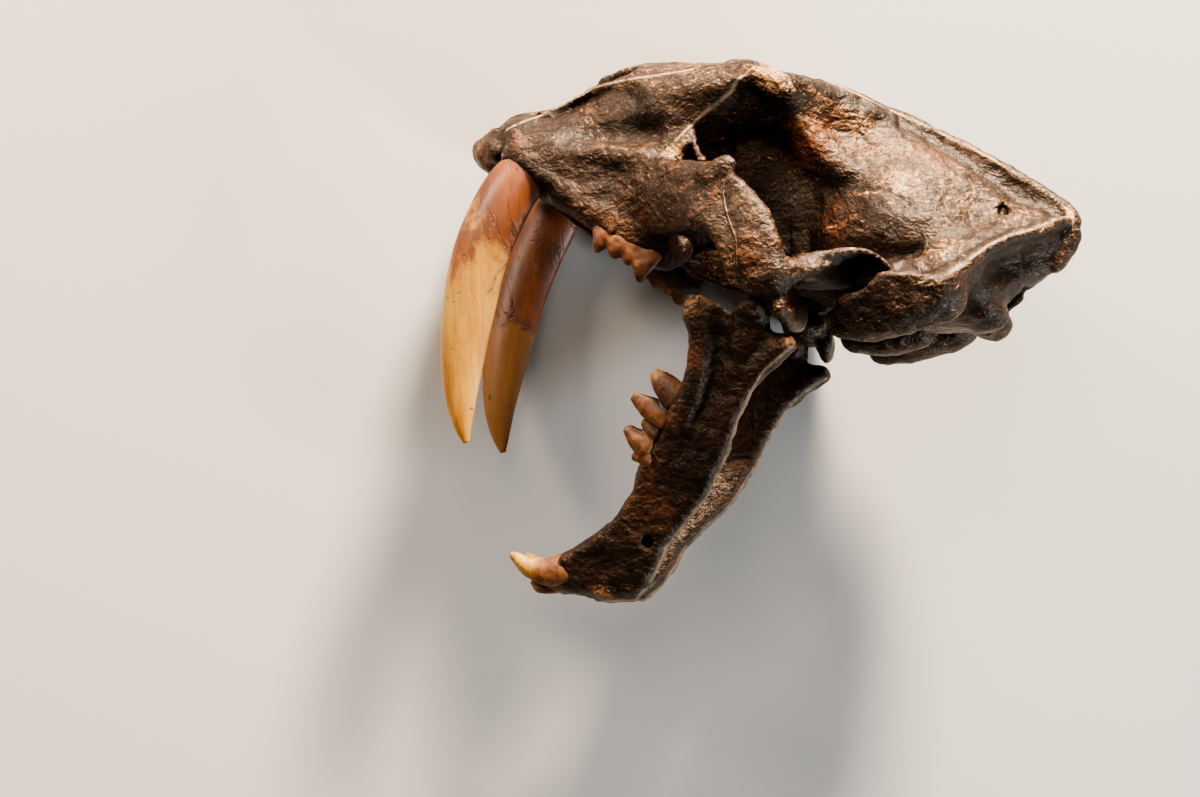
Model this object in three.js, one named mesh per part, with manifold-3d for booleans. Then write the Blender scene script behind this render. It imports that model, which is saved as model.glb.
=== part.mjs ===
// Fossil skull of a sabre-toothed cat with its mouth open, lying on its right side.
// Every form is written in the skull's own axes, in millimetres: x runs back from the nose, y up to the
// crown and z out to the animal's left. The origin of those axes is the middle of the jaw's hinge line.
import * as THREE from 'three';
import { LoftGeometry } from 'three/addons/geometries/LoftGeometry.js';
import { mergeVertices } from 'three/addons/utils/BufferGeometryUtils.js';
import Module from 'manifold-3d';

const wasm = await Module();
wasm.setup();

// Driving dimensions
const SOCKET_GAP = 0.35; // clear space between a tooth and its socket
const HINGE_GAP = 0.6; // clear space between the condyle of the jaw and the fossa that it turns in
const SYMPHYSIS_GAP = 0.4; // clear space between the two halves of the lower jaw
const JAW_HINGE_OFFSET = 66; // distance of a jaw half from the midline at the hinge
const JAW_CONVERGE = 0.36; // how fast the two halves come together towards the chin
const JAW_DOWN = new THREE.Vector2(-0.61, -0.79); // the way from the hinge to the chin, seen from the side
const JAW_HALF_THICKNESS = 4; // half thickness of the ramus at the hinge
const JAW_THICKENING = 0.045; // gain in half thickness for each millimetre towards the chin
const JAW_EDGE_ROUNDING = 2.4;

// Rest: the skull lies on its right cheekbone and the root of its right sabre
const DOWN = new THREE.Vector3(-0.27, 0.158, -0.95).normalize();
const REST_DISTANCE = 91; // from the hinge to the surface that it rests on, which leaves small flats

// How finely the forms are faceted, and how the free ends of a limb are rounded
const BLOCK_SIDES = 12;
const END_REACH = 0.72; // end ring: this far out, in half widths of the last section
const END_WIDTH = 0.66; // end ring: its size beside the last section

const LEFTWARD = [0, 0, 1];
const UPWARD = [0, 1, 0];
const BACKWARD = [1, 0, 0];

// Turns a closed geometry into a solid that can be joined and cut
function solid(geometry) {
  const bare = new THREE.BufferGeometry().setIndex(geometry.index);
  bare.setAttribute('position', geometry.attributes.position);
  const merged = mergeVertices(bare);
  return new wasm.Manifold(new wasm.Mesh({
    numProp: 3,
    vertProperties: Float32Array.from(merged.attributes.position.array),
    triVerts: Uint32Array.from(merged.index.array),
  }));
}

const join = (pieces) => wasm.Manifold.union(pieces);

// A limb of bone or a cusp of a tooth: an oval carried along stations [x, y, z, a, b]. The half width a
// lies along `side` and b across it. A free limb has rounded ends, and others end inside the bone.
function limb(stations, { side = LEFTWARD, grow = 0, sides = 6, free = false } = {}) {
  const last = stations.length - 1;
  const centre = (i) => new THREE.Vector3(...stations[i]);
  const oval = (i, out = 0, scale = 1) => {
    const [a, b] = [stations[i][3] + grow, (stations[i][4] ?? stations[i][3]) + grow];
    const way = centre(Math.min(i + 1, last)).sub(centre(Math.max(i - 1, 0))).normalize();
    const wide = new THREE.Vector3(...side);
    wide.addScaledVector(way, -wide.dot(way)).normalize();
    const high = way.clone().cross(wide);
    const middle = centre(i).addScaledVector(way, out * Math.min(a, b));
    return Array.from({ length: sides }, (_, k) => {
      const angle = (k / sides + 0.25) * 2 * Math.PI;
      return middle.clone()
        .addScaledVector(wide, a * scale * Math.cos(angle))
        .addScaledVector(high, b * scale * Math.sin(angle));
    });
  };
  const sections = stations.map((_, i) => oval(i));
  if (free) {
    sections.unshift(oval(0, -END_REACH, END_WIDTH));
    sections.push(oval(last, END_REACH, END_WIDTH));
  }
  return solid(new LoftGeometry(sections, { capStart: true, capEnd: true }));
}

// A form that is alike on both sides of the head, given by upright sections [x, y, a, b, power, taper]:
// half width a, half height b, squareness, and by how much the top is wider than the middle.
function block(sections) {
  const bend = (value, power) => Math.sign(value) * Math.abs(value) ** (2 / power);
  const outlines = sections.map(([x, y, a, b, power, taper]) =>
    Array.from({ length: BLOCK_SIDES }, (_, k) => {
      const angle = (k / BLOCK_SIDES) * 2 * Math.PI;
      const low = bend(Math.sin(angle), power);
      const wide = bend(Math.cos(angle), power);
      return new THREE.Vector3(x, y - b * low, a * (1 - taper * low) * wide);
    }));
  return solid(new LoftGeometry(outlines, { capStart: true, capEnd: true }));
}

// The same limb on the left and on the right of the head
function pair(stations, options = {}) {
  const other = stations.map(([x, y, z, ...size]) => [x, y, -z, ...size]);
  const [sideX, sideY, sideZ] = options.side ?? LEFTWARD;
  return [limb(stations, options), limb(other, { ...options, side: [sideX, sideY, -sideZ] })];
}

// Teeth of the left side. Each is a few limbs joined, root and crown in one.

const TEETH = {
  sabre_canine: [[[-104, 84, 35, 5, 9], [-114, 76, 38, 7.4, 12.6], [-124, 67, 40, 8.4, 14.4],
    [-138.5, 40, 41, 8.4, 15], [-148, 8, 38, 7.6, 14.2], [-153, -22, 35, 6, 11.6],
    [-153.5, -45, 33, 4, 7.6], [-151, -64, 32, 1.2, 1.6]]],
  upper_premolar: [[[-80, 52, 40, 3, 3.5], [-83.5, 46, 41, 2.6, 3.4], [-85, 43.5, 41.5, 1.4, 1.8]]],
  upper_carnassial: [
    [[-72, 40, 45.5, 4, 5], [-77.5, 31, 46.6, 2.4, 3.6], [-78.3, 29.4, 46.8, 1.2, 1.6]],
    [[-64, 38, 46, 4.6, 7], [-68.5, 28.4, 47.4, 2.8, 5], [-69.4, 26, 47.6, 1.2, 2]],
    [[-54, 30, 46.5, 4.4, 8], [-56.5, 20.5, 47.8, 2.6, 6.4], [-58, 16.4, 48, 1.2, 3.2]],
  ],
  lower_canine: [[[-104, -126, 13, 4.4, 8], [-114, -128, 13.6, 4.4, 7], [-124, -125, 14, 4, 5],
    [-131, -120, 14, 2.2, 2.8], [-133.4, -117.6, 14, 1, 1.2]]],
  lower_premolar: [
    [[-56, -67, 39, 3.4, 7], [-61, -63.5, 38.6, 3, 5.6], [-66, -58.5, 38.4, 2, 3]],
    [[-56, -73, 38, 3.2, 4], [-62.5, -72, 37.6, 2, 2.4]],
    [[-52, -61, 40, 3, 4], [-57, -55.5, 40, 1.8, 2.4]],
  ],
  lower_carnassial: [
    [[-46, -53, 43, 4, 7], [-55, -48, 43.5, 3, 5.4], [-61.4, -42.8, 43.8, 1.4, 2.6]],
    [[-40, -44, 46, 4, 7.5], [-46.5, -37, 46.2, 3, 6], [-50.8, -31.4, 46.4, 1.4, 2.8]],
  ],
};
const INCISOR_OFFSETS = [2.2, 5, 7.8]; // distance of each lower incisor from the midline
INCISOR_OFFSETS.forEach((z, i) => {
  TEETH[`lower_incisor_${i + 1}`] = [[[-108, -134.5, z, 1, 3.4], [-119, -135.5, z, 1, 3.4],
    [-126 + i, -132, z, 0.8, 1.8]]];
});

const SABRE_SIDES = 10;
const toothForm = (name, grow = 0) => ({ grow, sides: name === 'sabre_canine' ? SABRE_SIDES : 6 });
const tooth = (name, grow) => join(TEETH[name].map((stations) => limb(stations, toothForm(name, grow))));

// Lower jaw: each half is one bone, a flat ramus with its coronoid, condylar and angular processes

const JAW_OUTLINE = [[-116, -139], [-119, -133], [-113, -124], [-107, -118], [-98, -114], [-88, -109],
  [-79, -103], [-71.5, -95], [-66, -88], [-64, -81], [-62, -76], [-57, -70], [-47, -54], [-37, -40],
  [-28.4, -31], [-29, -22], [-31, -14], [-34, -6], [-32.5, 0.5], [-26, 3], [-18, 0.5], [-12.5, -4.5],
  [-6.4, -8], [-1, -6], [5, -4], [8, -9], [9, -15], [14.5, -17.5], [20, -20], [20.5, -24], [12, -29.5],
  [6, -34], [-1, -42], [-9, -56], [-15, -71], [-22.5, -84], [-27, -92], [-39.5, -105], [-50, -116],
  [-54, -125], [-60, -135], [-68, -142.5], [-86, -143.5], [-100, -141]];
const CONDYLE = [[1, -6, 46, 5.4, 6.4], [2, -5, 62, 6, 7], [2, -6, 77, 5, 6]];

// The outline becomes a plate of unit half thickness, which is then thickened and leaned inwards
function ramus() {
  const outline = new THREE.Shape(JAW_OUTLINE.map(([x, y]) => new THREE.Vector2(x, y)));
  const rimShare = 0.4; // part of the half thickness that the rounded edge takes
  const depth = 2 - 2 * rimShare;
  const geometry = new THREE.ExtrudeGeometry(outline, {
    depth,
    bevelThickness: rimShare,
    bevelSize: JAW_EDGE_ROUNDING,
    bevelOffset: -JAW_EDGE_ROUNDING,
    bevelSegments: 1,
  });
  const position = geometry.attributes.position;
  for (let i = 0; i < position.count; i += 1) {
    const down = JAW_DOWN.dot(new THREE.Vector2(position.getX(i), position.getY(i)));
    const thick = JAW_HALF_THICKNESS + JAW_THICKENING * down;
    const layer = position.getZ(i) - depth / 2;
    position.setZ(i, JAW_HINGE_OFFSET - JAW_CONVERGE * down + layer * thick);
  }
  return solid(geometry);
}

function dentary() {
  const angularProcess = limb([[2, -33, 65, 4.4, 6], [10, -27, 67, 4.6, 5.4], [16, -22.5, 68, 4.8, 4.6]]);
  const bone = join([ramus(), limb(CONDYLE, { side: UPWARD, free: true }), angularProcess]);
  const muscleFossa = limb([[-8, -14, 71, 4, 7], [-16, -26, 70, 5, 8], [-24, -42, 66, 4.4, 7],
    [-32, -55, 61, 3, 4]]);
  const farHalf = new THREE.BoxGeometry(400, 400, 100);
  farHalf.translate(0, 0, SYMPHYSIS_GAP / 2 - 50);
  const rooted = Object.keys(TEETH).filter((name) => name.startsWith('lower'));
  const sockets = rooted.map((name) => tooth(name, SOCKET_GAP));
  return bone.subtract(join([muscleFossa, solid(farHalf), ...sockets]));
}

// Cranium: one bone, because its sutures have closed

function cranium() {
  const middle = [
    // muzzle and face
    block([[-147, 98, 18, 8, 2.4, 0], [-136, 96.5, 29, 12.5, 2.6, -0.15], [-122, 91.5, 37.5, 18.5, 2.8, -0.24],
      [-98, 88, 40, 27.5, 2.8, -0.24], [-74, 90, 38.5, 43, 2.6, -0.1], [-54, 86, 36, 48, 2.6, 0],
      [-30, 80, 22, 46, 2.4, 0.1]]),
    // wall between the orbits, running back under the brain
    block([[-46, 78, 24, 46, 2.4, 0], [-12, 74, 17, 50, 2.3, 0.1], [14, 65, 17, 47, 2.2, 0],
      [46, 54, 24, 38, 2.2, -0.1]]),
    // forehead, narrowing to the crest
    block([[-86, 120, 18, 7, 2.4, -0.1], [-64, 120, 32, 12, 2.4, -0.15], [-46, 116, 39.5, 15, 2.3, -0.2],
      [-16, 114, 46, 11, 2.3, -0.2], [8, 112, 47, 10, 2.3, -0.2], [30, 105, 29, 10, 2.2, -0.2],
      [60, 93, 6, 8, 2.2, 0]]),
    // braincase
    block([[10, 45, 10, 28, 2.2, -0.2], [32, 47, 27, 36, 2.2, -0.28], [60, 47, 40.5, 38.5, 2.2, -0.32],
      [90, 36, 39, 31, 2.2, -0.25], [124, 18, 16, 15, 2.2, 0]]),
    // wall under the sagittal crest, then the crest
    limb([[20, 92, 0, 12, 24], [56, 74, 0, 15, 24], [98, 53, 0, 19, 19], [138, 32, 0, 15, 7]]),
    limb([[14, 114, 0, 6, 9.5], [44.5, 100.5, 0, 3.4, 11.4], [67.5, 89.5, 0, 3, 12], [110, 65.4, 0, 3, 12.4],
      [130, 50.4, 0, 3.4, 13], [150.6, 34, 0, 4, 13]]),
    // occiput
    block([[82, 16, 46, 20, 2.6, 0.05], [104, 11, 41, 19, 2.6, 0], [118, 15, 22, 15, 2.3, -0.1],
      [142, 28, 4, 8, 2.2, 0]]),
    // base of the skull
    block([[-14, 36, 8, 8, 2.4, 0], [20, 22, 14, 13, 2.4, 0], [80, 6, 30, 15, 2.4, 0], [108, 3, 20, 10, 2.4, 0]]),
    // nasal bones
    limb([[-141, 107.5, 0, 9, 2.6], [-126, 109.5, 0, 16, 3], [-98, 113, 0, 18, 6]]),
  ];
  const sides = [
    // cheek wall over the tooth row, and the ridge over the root of the canine
    pair([[-123, 78, 34, 6, 8], [-88, 66, 37, 9, 18], [-40, 55, 48, 8, 24]]),
    pair([[-129, 80, 38, 5, 8], [-108, 81, 40.5, 7, 13], [-58, 77, 44, 5, 6]]),
    // edge of the upper jaw that carries the cheek teeth, and the swelling behind them
    pair([[-102, 61, 41, 6, 6], [-70, 42, 46, 7, 9], [-42, 29.5, 42, 7, 8]]),
    // premaxilla, its sockets empty
    pair([[-150, 90.5, 7, 9, 9.5], [-145, 88.5, 18, 7, 9], [-136, 89, 28, 6, 8]], { free: true }),
    // cheekbone: jugal with its upper process, and the lower rim of the orbit
    pair([[-64, 50, 40, 8, 17], [-42, 50.5, 59, 7, 19], [-25, 47.5, 72, 5, 18], [-14, 43, 79, 4.6, 15]]),
    pair([[-21, 45, 74, 4.6, 15], [-11, 38, 81.5, 4.6, 13], [-5.5, 21, 85, 4, 8], [-2, 2, 84, 3.4, 4]]),
    pair([[-16, 52, 77, 4.4, 8], [-5.5, 68, 80.5, 3.6, 3]]),
    pair([[-48, 73, 51, 4, 4], [-37, 66.5, 62, 3.4], [-10, 60, 78, 3.6]]),
    // cheekbone: the part that the squamosal gives
    pair([[-4, 53, 82.5, 2, 2], [2, 40, 86, 4, 7.4], [6.5, 24, 88.4, 4.8, 11], [11, -3, 81, 6, 12]]),
    // upper rim of the orbit and the process behind the eye
    pair([[-47, 68, 50, 5, 5], [-32, 87, 47, 4.4, 8], [-8, 104, 46.5, 5, 9], [10, 109, 46, 5, 7]]),
    pair([[-50, 78, 40, 6, 9], [-36, 92, 40, 7, 11], [-4, 107, 40, 8, 9]]),
    pair([[-4, 108, 47, 5, 7], [8, 104, 52.5, 5, 7.5], [20, 102, 51, 5, 7], [24, 108, 40, 5, 6]]),
    // shelf from the braincase out to the cheekbone, and its edge over the ear
    pair([[30, 15, 8, 22, 8], [28, 13, 58, 23, 6], [14, 9, 84, 10, 8]], { side: BACKWARD }),
    pair([[12, 11, 80, 4, 5], [32, 18.5, 71, 3.4, 4], [56, 19.5, 62, 3, 4], [67, 11, 58, 3, 5]], { side: UPWARD }),
    // seat of the jaw hinge and the lip behind it
    pair([[13, 1, 36, 7, 10], [10, 1, 70, 7, 10], [9, 4, 86, 6, 9]], { side: UPWARD }),
    pair([[21, -6, 42, 4, 8], [20, -8, 60, 4, 9], [16, -4, 82, 4, 7]], { side: BACKWARD }),
    // mastoid and the swelling of the ear
    pair([[40, -9, 59, 5, 8], [58, -5.5, 65, 7, 14], [74, -4.5, 66, 7, 14.5], [90, -3, 60, 6, 11]]),
    pair([[50, -8, 50, 10, 13], [92, -3, 50, 11, 12]]),
    pair([[38, -6, 28, 7, 7], [58, -9, 29, 12, 11.5], [80, -8, 30, 9, 8]]),
    // nuchal crest: its edge and the slope behind it
    pair([[149, 43, 2, 3], [131, 33, 26, 2.8, 3], [109, 20.5, 47, 3], [88, 4, 62, 4, 5]]),
    pair([[138, 34, 4, 4, 11], [115, 24, 30, 5, 12], [84, 2, 54, 6, 12]], { side: [0.45, -0.75, 0.1] }),
    // occipital condyle and pterygoid
    pair([[107, -7, 4, 9, 8], [111, -8, 17, 9, 9], [106, -3, 28, 6, 7]], { side: UPWARD }),
    pair([[-46, 36, 16, 3, 8], [-12, 21, 14, 2.4, 8], [8, 14, 14, 2.4, 5]]),
  ];
  const hollows = [
    // nasal opening, and the hole for the spinal cord
    block([[-160, 99, 10, 6, 2.2, 0.2], [-146, 99, 14, 7.5, 2.2, 0.2], [-122, 97, 19, 10, 2.4, 0],
      [-104, 95, 12, 6, 2.2, 0]]),
    limb([[130, -1, 0, 11, 10], [106, 4, 0, 10, 9], [86, 8, 0, 9, 9]]),
    // orbit, and the opening in its front rim
    ...pair([[-22, 79, 57, 17, 12], [-8, 81, 59, 21, 18], [14, 83, 61, 20, 17]]),
    ...pair([[-38, 70, 69, 3.4, 4.6], [-22, 70, 57, 3.4, 4.6]], { side: UPWARD }),
    // ear opening, and the seat that the condyle turns in
    ...pair([[28, 4, 75, 6, 9], [54, 5, 61, 6, 9]], { side: UPWARD }),
    ...pair(CONDYLE, { side: UPWARD, free: true, grow: HINGE_GAP }),
  ];
  const rooted = Object.keys(TEETH).filter((name) => !name.startsWith('lower'));
  const sockets = rooted.flatMap((name) => TEETH[name].flatMap((cusp) => pair(cusp, toothForm(name, SOCKET_GAP))));
  return join([...middle, ...sides.flat()]).subtract(join([...hollows, ...sockets]));
}

// Finishes: asphalt has stained the bone near black, and the enamel stayed pale

const BONE = new THREE.MeshStandardMaterial({ color: 0x3a271d, roughness: 0.5, metalness: 0 });
const IVORY = new THREE.MeshStandardMaterial({ color: 0xc9a35c, roughness: 0.3, metalness: 0 });
const AMBER = new THREE.MeshStandardMaterial({ color: 0x8a5426, roughness: 0.35, metalness: 0 });

const skull = new THREE.Group();

function geometryOf(piece) {
  const { vertProperties, triVerts } = piece.getMesh();
  const geometry = new THREE.BufferGeometry();
  geometry.setAttribute('position', new THREE.Float32BufferAttribute(vertProperties, 3));
  return geometry.setIndex(Array.from(triVerts));
}

// The piece of the other side
function mirrored(piece) {
  const geometry = geometryOf(piece).scale(1, 1, -1);
  geometry.index.array.reverse();
  return solid(geometry);
}

// Adds a piece, cut flat where it meets the surface, with its own copy of the finish
const up = DOWN.clone().negate();
function add(name, piece, finish) {
  const geometry = geometryOf(piece.trimByPlane(up.toArray(), -REST_DISTANCE));
  geometry.computeVertexNormals();
  const mesh = new THREE.Mesh(geometry, finish.clone());
  mesh.name = name;
  skull.add(mesh);
}

add('cranium', cranium(), BONE);
const jawHalf = dentary();
add('left_dentary', jawHalf, BONE);
add('right_dentary', mirrored(jawHalf), BONE);
for (const name of Object.keys(TEETH)) {
  const finish = name.endsWith('canine') ? IVORY : AMBER;
  add(`left_${name}`, tooth(name), finish);
  add(`right_${name}`, mirrored(tooth(name)), finish);
}

// The whole is laid down with its nose to -X, over an origin on the surface that it rests on
const back = new THREE.Vector3(...BACKWARD);
back.addScaledVector(up, -back.dot(up)).normalize();
const crown = up.clone().cross(back);
skull.setRotationFromMatrix(new THREE.Matrix4().makeBasis(back, crown, up).transpose());
const middle = new THREE.Box3().setFromObject(skull, true).getCenter(new THREE.Vector3());
skull.position.set(-middle.x, -middle.y, REST_DISTANCE);

export default skull;
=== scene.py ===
import bmesh
import bpy
import numpy as np
import openvdb
from mathutils import Matrix, Vector


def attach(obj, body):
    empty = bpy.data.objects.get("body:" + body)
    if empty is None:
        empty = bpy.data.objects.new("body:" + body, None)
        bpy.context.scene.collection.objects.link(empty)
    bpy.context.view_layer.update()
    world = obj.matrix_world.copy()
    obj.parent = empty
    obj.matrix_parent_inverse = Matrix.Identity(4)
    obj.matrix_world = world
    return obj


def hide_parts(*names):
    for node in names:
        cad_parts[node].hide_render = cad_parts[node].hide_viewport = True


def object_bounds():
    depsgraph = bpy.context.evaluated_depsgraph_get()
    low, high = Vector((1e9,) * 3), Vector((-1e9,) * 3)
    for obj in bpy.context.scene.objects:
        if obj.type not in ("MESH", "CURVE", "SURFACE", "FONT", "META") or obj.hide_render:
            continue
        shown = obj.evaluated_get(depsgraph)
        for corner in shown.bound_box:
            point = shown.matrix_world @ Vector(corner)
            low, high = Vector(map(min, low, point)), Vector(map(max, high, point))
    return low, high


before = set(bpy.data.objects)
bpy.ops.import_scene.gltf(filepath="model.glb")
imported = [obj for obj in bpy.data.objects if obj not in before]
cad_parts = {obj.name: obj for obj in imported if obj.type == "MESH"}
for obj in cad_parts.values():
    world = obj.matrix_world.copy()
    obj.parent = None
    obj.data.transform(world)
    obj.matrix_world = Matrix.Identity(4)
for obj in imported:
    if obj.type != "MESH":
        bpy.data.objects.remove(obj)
cad_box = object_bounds()


# How the skull lies
# The fossil lies on its right cheekbone and the root of its right sabre, with its nose to -X. Every form
# below is written in the skull's own axes, in millimetres, as in the CAD source: x back from the nose,
# y up to the crown, z out to the animal's left, from an origin in the middle of the jaw's hinge line.

MM = 0.001
DOWN = Vector((-0.27, 0.158, -0.95)).normalized()
REST_DISTANCE = 91.0  # from the hinge to the surface that the skull rests on
HINGE_PLACE = (6.9548, 5.7668)  # where the hinge's middle stands over that surface, from the origin

lie_up = -DOWN
lie_back = Vector((1, 0, 0))
lie_back = (lie_back - lie_back.dot(lie_up) * lie_up).normalized()
lie_crown = lie_up.cross(lie_back)
skull_to_frame = Matrix((lie_back, lie_crown, lie_up)).to_4x4()
skull_to_frame.translation = Vector((*HINGE_PLACE, REST_DISTANCE))
skull_to_frame = Matrix.Scale(MM, 4) @ skull_to_frame


def in_frame(point):
    return skull_to_frame @ Vector(point)


# Cranium
# One bone, since its sutures have closed: muzzle, cheekbones, braincase and crests. It is real bone, some
# ten thousand years in asphalt, which stained it near black. It grew, so it is modelled as clay is: forms
# are added and carved in a field of distances, and the field's zero surface becomes the mesh.

CRANIUM_GRAIN = 1.5  # size of a cell of the field
BOX_MARGIN = 0.0002  # the relief of the surface stops this far inside the box that the solids fill
FAR = 12.0  # distance that stands for open space


def smooth_path(stations, steps=4):
    """A smooth curve through the stations, with this many steps between two of them."""
    rows = np.asarray(stations, float)
    ext = np.vstack([2 * rows[0] - rows[1], rows, 2 * rows[-1] - rows[-2]])
    out = []
    for i in range(1, len(ext) - 2):
        p0, p1, p2, p3 = ext[i - 1 : i + 3]
        for j in range(steps):
            t = j / steps
            bend = (2 * p0 - 5 * p1 + 4 * p2 - p3) * t * t + (3 * p1 - p0 - 3 * p2 + p3) * t**3
            out.append(0.5 * (2 * p1 + (p2 - p0) * t + bend))
    out.append(rows[-1])
    return np.array(out)


class Clay:
    """The left half of a bone or tooth, as a field of distances that forms are added to or cut from."""

    def __init__(self, low, high, grain):
        self.grain = grain
        starts = (low[0], low[1], grain / 2)
        self.axes = [np.arange(a, b + grain, grain, dtype=np.float32) for a, b in zip(starts, high)]
        self.field = np.full([len(a) for a in self.axes], FAR, np.float32)

    def near(self, low, high):
        """The part of the grid between two corners, and its coordinates."""
        part = []
        for axis, a, b in zip(self.axes, low, high):
            start = max(0, int(np.searchsorted(axis, a)) - 1)
            end = min(len(axis), int(np.searchsorted(axis, b)) + 1)
            if end <= start:
                return None, None
            part.append(slice(start, end))
        x, y, z = (axis[p] for axis, p in zip(self.axes, part))
        return tuple(part), (x[:, None, None], y[None, :, None], z[None, None, :])

    def put(self, part, form, blend, cut):
        """Joins a form to the clay, or cuts it out, with a rounded meeting of this width."""
        old = self.field[part]
        sign = -1 if cut else 1
        share = np.clip(0.5 + 0.5 * sign * (old - sign * form) / blend, 0, 1)
        self.field[part] = old * (1 - share) + sign * form * share - sign * blend * share * (1 - share)

    def limb(self, stations, blend=4.0, side=(0, 0, 1), cut=False):
        """An oval carried along stations [x, y, z, a, b], where a lies along `side` and b across it."""
        rows = smooth_path([[*s[:4], s[4] if len(s) > 4 else s[3]] for s in stations])
        reach = rows[:, 3:5].max() + max(blend, 2) + 3
        part, grid = self.near(rows[:, :3].min(0) - reach, rows[:, :3].max(0) + reach)
        if part is None:
            return
        side = np.asarray(side, float)
        best = None
        for p, q in zip(rows[:-1], rows[1:]):
            way = q[:3] - p[:3]
            length = np.linalg.norm(way)
            if length < 1e-6:
                continue
            way /= length
            wide = side - (side @ way) * way
            wide /= np.linalg.norm(wide)
            high = np.cross(way, wide)
            x, y, z = (g - c for g, c in zip(grid, p[:3]))
            along = x * way[0] + y * way[1] + z * way[2]
            t = np.clip(along / length, 0, 1)
            a = p[3] + (q[3] - p[3]) * t
            b = p[4] + (q[4] - p[4]) * t
            c = np.minimum(a, b)
            across = (x * wide[0] + y * wide[1] + z * wide[2]) / a
            over = (x * high[0] + y * high[1] + z * high[2]) / b
            past = (along - t * length) / c
            far = np.sqrt(across**2 + over**2 + past**2)
            slope = np.sqrt((across / a) ** 2 + (over / b) ** 2 + (past / c) ** 2) + 1e-9
            form = np.where(far < 0.3, -c * (1 - far), far * (far - 1) / slope)
            best = form if best is None else np.minimum(best, form)
        self.put(part, best.astype(np.float32), blend, cut)

    def body(self, sections, blend=4.0, cut=False):
        """Upright sections [x, y, a, b, power, taper], alike on both sides of the head."""
        rows = smooth_path(sections, 6)
        reach = max(blend, 2) + 3
        low, high = (rows[:, 1] - rows[:, 3]).min(), (rows[:, 1] + rows[:, 3]).max()
        wide = (rows[:, 2] * (1 + abs(rows[:, 5]))).max()
        corner = (rows[-1, 0] + reach, high + reach, wide + reach)
        part, grid = self.near((rows[0, 0] - reach, low - reach, 0), corner)
        x = self.axes[0][part[0]]
        held = np.clip(x, rows[0, 0], rows[-1, 0])
        y, a, b, power, taper = (np.interp(held, rows[:, 0], r)[:, None, None] for r in rows[:, 1:].T)
        up = (grid[1] - y) / b
        a = np.maximum(a * (1 + taper * np.clip(up, -1, 1)), 1.0)
        out = np.abs(grid[2]) / a
        past = np.abs(x - held)[:, None, None] / np.minimum(a, b)
        far = (out**power + np.abs(up) ** power + past**power) ** (1 / power)
        slope = np.sqrt((out / a) ** 2 + (up / b) ** 2 + (past / np.minimum(a, b)) ** 2) + 1e-9
        slope = np.maximum(slope, 1 / np.maximum(a, b))
        form = np.where(far > 0.4, far * (far - 1) / slope, -0.6 * np.minimum(a, b))
        self.put(part, form.astype(np.float32), blend, cut)

    def plate(self, outline, middle, half, edge, blend=2.0):
        """A flat bone: its outline in x and y, the z of its middle, half its thickness, its rounding."""
        points = np.asarray(outline, float)
        low, high = points.min(0) - 8, points.max(0) + 8
        part, grid = self.near((*low, 0), (*high, 200))
        x, y = self.axes[0][part[0]][:, None], self.axes[1][part[1]][None, :]
        gap = np.full((len(x), y.shape[1]), 1e9)
        inside = np.zeros_like(gap, bool)
        for (x0, y0), (x1, y1) in zip(points, np.roll(points, -1, 0)):
            dx, dy = x1 - x0, y1 - y0
            t = np.clip(((x - x0) * dx + (y - y0) * dy) / (dx * dx + dy * dy), 0, 1)
            gap = np.minimum(gap, np.hypot(x - x0 - t * dx, y - y0 - t * dy))
            inside ^= ((y0 > y) != (y1 > y)) & (x < (x1 - x0) * (y - y0) / (y1 - y0 + 1e-12) + x0)
        rim = np.clip(np.where(inside, gap, 0) / edge, 0, 1)
        thick = half(x, y) * np.sqrt(1 - (1 - rim) ** 2)
        out = np.abs(grid[2] - middle(x, y)[:, :, None])
        beside = np.hypot(gap[:, :, None], out)
        form = np.where(inside[:, :, None], out - thick[:, :, None], beside)
        self.put(part, form.astype(np.float32), blend, False)

    def whole(self):
        """Both halves, and the three axes of the doubled grid."""
        both = np.concatenate([self.field[:, :, ::-1], self.field], axis=2)
        return both, [self.axes[0], self.axes[1], np.concatenate([-self.axes[2][::-1], self.axes[2]])]


def sample(field, axes, grain, points):
    """The field's value at each point."""
    place = (points - np.array([a[0] for a in axes])) / grain
    place = np.clip(place, 0, np.array(field.shape) - 1.001)
    cell = place.astype(int)
    t = place - cell
    total = 0
    for corner in np.ndindex(2, 2, 2):
        weight = np.prod(np.where(corner, t, 1 - t), axis=1)
        i, j, k = (cell + corner).T
        total = total + weight * field[i, j, k]
    return total


LATTICE = 24  # cells after which the noise repeats
LATTICE_START = 1000.0  # keeps every place on the lattice above zero


def rough(points, size, seed):
    """Soft noise from -1 to 1, with lumps of about this size."""
    lattice = np.random.default_rng(seed).random((LATTICE, LATTICE, LATTICE)) * 2 - 1
    place = points / size + LATTICE_START
    cell = np.floor(place).astype(int)
    t = place - cell
    t = t * t * (3 - 2 * t)
    total = 0
    for corner in np.ndindex(2, 2, 2):
        weight = np.prod(np.where(corner, t, 1 - t), axis=1)
        i, j, k = ((cell + corner) % LATTICE).T
        total = total + weight * lattice[i, j, k]
    return total


SPOT_REACH = 1.25  # in radii, from the middle of a spot to the end of its mark
SPOT_FADE = 0.9  # in radii, over which the mark fades


def blobs(points, spots):
    """How strongly spots [x, y, z, radius, amount], on either side of the head, mark each point."""
    mark = np.zeros(len(points))
    side = np.column_stack([points[:, :2], np.abs(points[:, 2])])
    for x, y, z, radius, amount in spots:
        far = np.linalg.norm(side - (x, y, z), axis=1) / radius
        mark = np.maximum(mark, amount * np.clip((SPOT_REACH - far) / SPOT_FADE, 0, 1))
    return mark


HOLLOW_REACHES = (3.0, 7.0, 11.0)  # how far out from the surface more clay is looked for
FLOOR_GAP = 0.1  # the surface stops this far over the floor
SUTURE_SIDE = 70  # the cheekbone's suture lies further from the middle than this
BEND_GAIN = 6


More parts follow.
